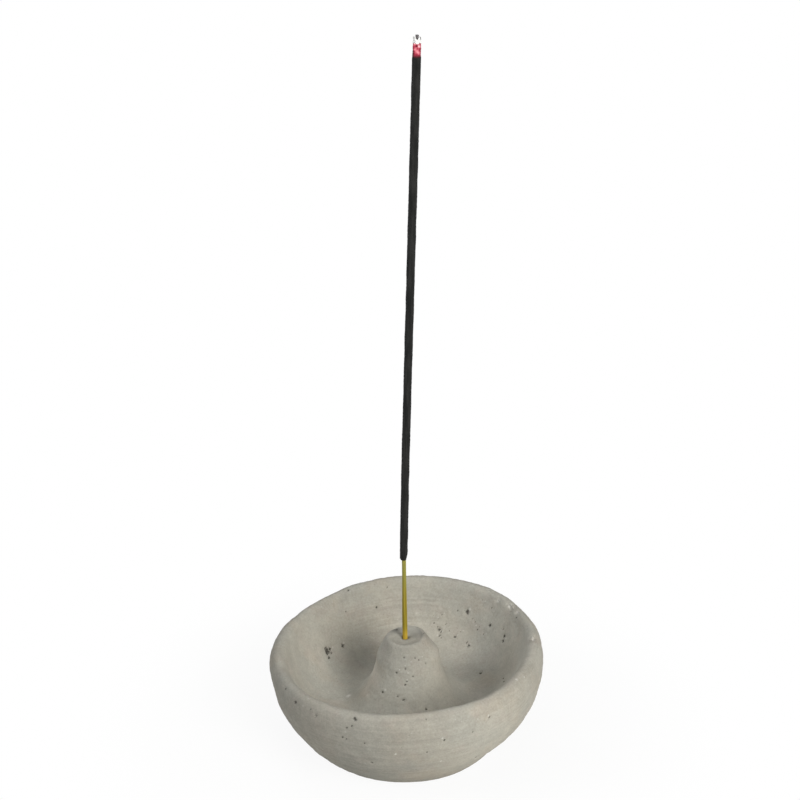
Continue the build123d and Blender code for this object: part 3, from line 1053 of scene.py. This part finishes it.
def rough_stone():
    """Warm grey stone with faint turning lines, light crumbs, pinholes and ragged-edged pits painted dark
    with shade, painted shade on the left of its outside, staining and painted shade in the crater, and light
    flecks, some of them painted highlights."""
    material, tree, shader = new_material("rough_stone")
    place = place_node(tree, "ShaderNodeTexCoord").outputs["Object"]
    upright = {"Vector": place, "Rotation": (0, TURNING_TILT, 0), "Scale": (1 / MM, 1 / MM, 1 / MM)}
    turning = place_node(tree, "ShaderNodeMapping", upright).outputs[0]
    grain = noise(tree, turning, scale=1.3, detail=4.0, roughness=0.75)
    colour = stone_ground(tree, turning, grain)

    lines = use_group(tree, streaks, Vector=turning, Across=0.03, Along=1.0, Detail=4.0)
    lathe = named_mark(tree, "lathe")
    lined = tinted(tree, colour, ranged(tree, lines, (0.32, 0.68), (0.86, 1.1), "LINEAR"))
    colour = mixed(tree, lathe, colour, lined)
    # Pinholes, painted darker with the shade in them
    pinholes = use_group(tree, specks, Vector=turning, Scale=0.7, Share=0.16, Size=0.24)
    colour = mixed(tree, product(tree, pinholes, 0.32), colour, PINHOLE_SHADE_DARK)
    crumbs = use_group(tree, specks, Vector=turning, Scale=0.53, Share=0.14, Size=0.26)
    colour = mixed(tree, product(tree, crumbs, 0.3), colour, CRUMB_LIGHT)

    # Painted shade: the outside darkens towards the left, the side away from the key light
    side = place_node(tree, "ShaderNodeSeparateXYZ", {"Vector": place}).outputs["X"]
    painted_left_shade = tinted(tree, colour, ranged(tree, side, (-0.045, 0.035), (0.64, 0.99), "LINEAR"))
    colour = mixed(tree, named_mark(tree, "outside"), colour, painted_left_shade)
    # Lighter and darker patches, partly the stone's own tone and partly painted light and painted shade
    colour = tinted(tree, colour, named_mark(tree, "tone"))
    # Staining at the back left of the crater and painted shade on its right
    stain_and_shade = product(tree, named_mark(tree, "stain_and_shade"), ranged(tree, grain, (0.3, 0.7), (0.35, 0.75)))
    colour = mixed(tree, stain_and_shade, colour, STAIN_AND_SHADE_DARK)
    # Pits painted dark with the shade in their hollows, with ragged edges
    crumbled = ranged(tree, noise(tree, turning, scale=1.5), (0.2, 0.8), (-0.28, 0.28))
    pit = ranged(tree, sums(tree, "ADD", named_mark(tree, "pore"), crumbled), (0.2, 0.75))
    colour = mixed(tree, product(tree, pit, 0.92), colour, PIT_SHADE_DARK)
    # Light chips and grains, and painted highlights at the lit edges of pores
    broken = product(tree, named_mark(tree, "chip_and_highlight"), noise(tree, turning, scale=1.1, detail=2.0))
    colour = mixed(tree, ranged(tree, broken, (0.2, 0.6), (0.0, 0.5)), colour, FLECK_AND_HIGHLIGHT_LIGHT)

    relief = sums(tree, "ADD", product(tree, grain, 0.8), product(tree, lines, lathe))
    relief = sums(tree, "SUBTRACT", relief, pinholes)
    normal = bump(tree, relief, strength=0.4, distance=0.0002)
    look = {"Base Color": colour, "Roughness": 0.92, "Specular IOR Level": 0.2, "Normal": normal}
    set_inputs(tree, shader, look)
    return material


def bare_bamboo():
    """Yellow bamboo with fine darker fibres, lighter at its foot with painted light thrown up from the
    crater, greener further up, and charred black where it stands in the ember and above it."""
    material, tree, shader = new_material("bare_bamboo")
    place = named_mark(tree, "stick_place", "Vector")
    fibres = use_group(tree, streaks, Vector=place, Across=3.2, Along=0.035, Detail=5.0)
    colour = mixed(tree, ranged(tree, fibres, (0.3, 0.72)), BAMBOO_DARK, BAMBOO_YELLOW)
    tone = use_group(tree, streaks, Vector=place, Across=0.5, Along=0.09, Detail=2.0)
    colour = mixed(tree, ranged(tree, tone, (0.4, 0.7), (0.0, 0.5)), colour, BAMBOO_OLIVE)
    up = place_node(tree, "ShaderNodeSeparateXYZ", {"Vector": place}).outputs["Z"]
    greener = mixed(tree, ranged(tree, up, (HOLE_DEPTH + 14, COAT_START - 4)), WHITE, GREENER)
    # Painted light: the splint is lighter at its foot, where light from the crater falls
    painted_foot_light = mixed(tree, ranged(tree, up, (HOLE_DEPTH + 1, HOLE_DEPTH + 6)), PAINTED_FOOT_LIGHT, WHITE)
    colour = tinted(tree, tinted(tree, colour, greener), painted_foot_light)
    dusted = mixed(tree, ranged(tree, up, (ASH_END - 1, ASH_END)), CHAR_BLACK, CHAR_GREY)
    colour = mixed(tree, ranged(tree, up, (COAT_END - 2, COAT_END + 1)), colour, dusted)
    normal = bump(tree, fibres, strength=0.4, distance=0.0001)
    look = {"Base Color": colour, "Roughness": 0.6, "Specular IOR Level": 0.25, "Normal": normal}
    set_inputs(tree, shader, look)
    return material


def charcoal_paste():
    """Matt black paste with long faint streaks and a fine dusty grain."""
    material, tree, shader = new_material("charcoal_paste")
    place = named_mark(tree, "stick_place", "Vector")
    drawn = use_group(tree, streaks, Vector=place, Across=1.6, Along=0.12, Detail=4.0)
    grain = use_group(tree, streaks, Vector=place, Across=5.0, Along=3.5, Detail=4.0)
    colour = mixed(tree, ranged(tree, drawn, (0.3, 0.7)), PASTE_BLACK, PASTE_GREY)
    dust = use_group(tree, specks, Vector=place, Scale=4.5, Share=0.12, Size=0.3)
    colour = mixed(tree, product(tree, dust, 0.3), colour, PASTE_DUST)
    roughness = ranged(tree, grain, (0.3, 0.7), (0.65, 0.88), "LINEAR")
    normal = bump(tree, sums(tree, "ADD", grain, drawn), strength=0.5, distance=0.00008)
    look = {"Base Color": colour, "Roughness": roughness, "Specular IOR Level": 0.12, "Normal": normal}
    set_inputs(tree, shader, look)
    return material


def ember_glow():
    """Crimson coal with hot pink spots, lit by its own heat."""
    material, tree, shader = new_material("ember_glow")
    heat = named_mark(tree, "ember_heat")
    glow = use_group(tree, heat_glow, Heat=heat)
    normal = bump(tree, heat, strength=0.4, distance=0.0001)
    look = {"Base Color": COAL, "Roughness": 0.85, "Specular IOR Level": 0.15, "Normal": normal}
    set_inputs(tree, shader, {**look, "Emission Color": glow, "Emission Strength": 1.0})
    return material


def pale_ash():
    """Crumbling ash: near white, with grey crevices, dark flecks, and a glow where it meets the ember."""
    material, tree, shader = new_material("pale_ash")
    place = named_mark(tree, "stick_place", "Vector")
    crumbs = use_group(tree, streaks, Vector=place, Across=2.2, Along=2.0, Detail=4.0)
    colour = mixed(tree, ranged(tree, crumbs, (0.3, 0.55)), ASH_GREY, ASH_WHITE)
    colour = mixed(tree, named_mark(tree, "char"), colour, ASH_CHAR)
    hot = named_mark(tree, "hot")
    colour = mixed(tree, hot, colour, COAL)
    glow = mixed(tree, hot, BLACK, use_group(tree, heat_glow, Heat=named_mark(tree, "ember_heat")))
    normal = bump(tree, crumbs, strength=0.5, distance=0.00012)
    look = {"Base Color": colour, "Roughness": 0.95, "Specular IOR Level": 0.1, "Normal": normal}
    set_inputs(tree, shader, {**look, "Emission Color": glow, "Emission Strength": 1.0})
    return material


# Stage

def seen_rays(tree):
    """1 for rays that reach the camera straight, mirrored or through glass, and 0 for light on the object."""
    path = place_node(tree, "ShaderNodeLightPath")
    mirrored = sums(tree, "MAXIMUM", path.outputs["Is Glossy Ray"], path.outputs["Is Transmission Ray"])
    return sums(tree, "MAXIMUM", path.outputs["Is Camera Ray"], mirrored)


def blended(tree, share, first, second):
    """The shader between two shaders at a share."""
    return place_node(tree, "ShaderNodeMixShader", {0: share, 1: first, 2: second}).outputs[0]


def pale_floor():
    """A wide pale floor that shows near white and keeps a soft shadow."""
    mesh = bpy.data.meshes.new("pale_floor")
    corners = [(-1, -1), (1, -1), (1, 1), (-1, 1)]
    mesh.from_pydata([(FLOOR_REACH * x, FLOOR_REACH * y, 0) for x, y in corners], [], [(0, 1, 2, 3)])
    floor = add_object("pale_floor", mesh)
    material = bpy.data.materials.new("pale_floor")
    tree = cleared_tree(material)
    matt = place_node(tree, "ShaderNodeBsdfDiffuse", {"Color": FLOOR_GREY}).outputs[0]
    white = place_node(tree, "ShaderNodeEmission", {"Color": WHITE, "Strength": 1.0}).outputs[0]
    place = place_node(tree, "ShaderNodeTexCoord").outputs["Object"]
    distance = place_node(tree, "ShaderNodeVectorMath", {0: place}, operation="LENGTH").outputs["Value"]
    lifted = blended(tree, ranged(tree, distance, SHADOW_RADII, (0.92, 1.0)), matt, white)
    shown = blended(tree, seen_rays(tree), matt, lifted)
    place_node(tree, "ShaderNodeOutputMaterial", {"Surface": shown})
    mesh.materials.append(material)


def white_world():
    """Even light from all round, shown as plain white."""
    world = bpy.data.worlds.new("white_world")
    tree = cleared_tree(world)
    fill = place_node(tree, "ShaderNodeBackground", {"Color": WHITE, "Strength": 0.01}).outputs[0]
    white = place_node(tree, "ShaderNodeBackground", {"Color": WHITE, "Strength": 1.0}).outputs[0]
    place_node(tree, "ShaderNodeOutputWorld", {"Surface": blended(tree, seen_rays(tree), fill, white)})
    bpy.context.scene.world = world


def soft_lamp(name, side, height, size, power, tint):
    """A square soft light that faces the bowl, at degrees to the side of the camera and above the floor."""
    light = bpy.data.lights.new(name, "AREA")
    light.size = size
    light.energy = power
    light.color = tint
    lamp = add_object(name, light)
    across = LAMP_DISTANCE * cos(radians(height))
    lamp.location = (
        across * sin(radians(side)),
        -across * cos(radians(side)),
        LAMP_TARGET + LAMP_DISTANCE * sin(radians(height)),
    )
    lamp.rotation_euler = (radians(90 - height), 0, radians(side))


def photo_camera():
    """A camera at the photograph's height, dip and field of view."""
    camera = bpy.data.cameras.new("photo_camera")
    camera.sensor_width = SENSOR_WIDTH
    camera.lens = FOCAL_PIXELS / IMAGE_SIZE * SENSOR_WIDTH
    camera.clip_start = 0.01
    stand = add_object("photo_camera", camera)
    stand.location = CAMERA_PLACE * MM
    stand.rotation_euler = (pi / 2 - CAMERA_DIP, 0, 0)
    bpy.context.scene.camera = stand


specks = speckle_group()
streaks = streak_group()
heat_glow = heat_group()
stone_bowl(rough_stone())
bamboo_splint(bare_bamboo())
charcoal_coat(charcoal_paste())
glowing_ember(ember_glow())
crumbling_ash(pale_ash())

pale_floor()
white_world()
soft_lamp("key_light", side=36, height=30, size=0.45, power=7.6, tint=WARM_LIGHT)
soft_lamp("left_fill", side=-80, height=28, size=0.45, power=3.4, tint=COOL_LIGHT)
soft_lamp("back_fill", side=-158, height=60, size=0.50, power=1.5, tint=COOL_LIGHT)
soft_lamp("top_fill", side=0, height=80, size=0.60, power=1.7, tint=COOL_LIGHT)
photo_camera()
bpy.context.scene.view_settings.view_transform = "Standard"
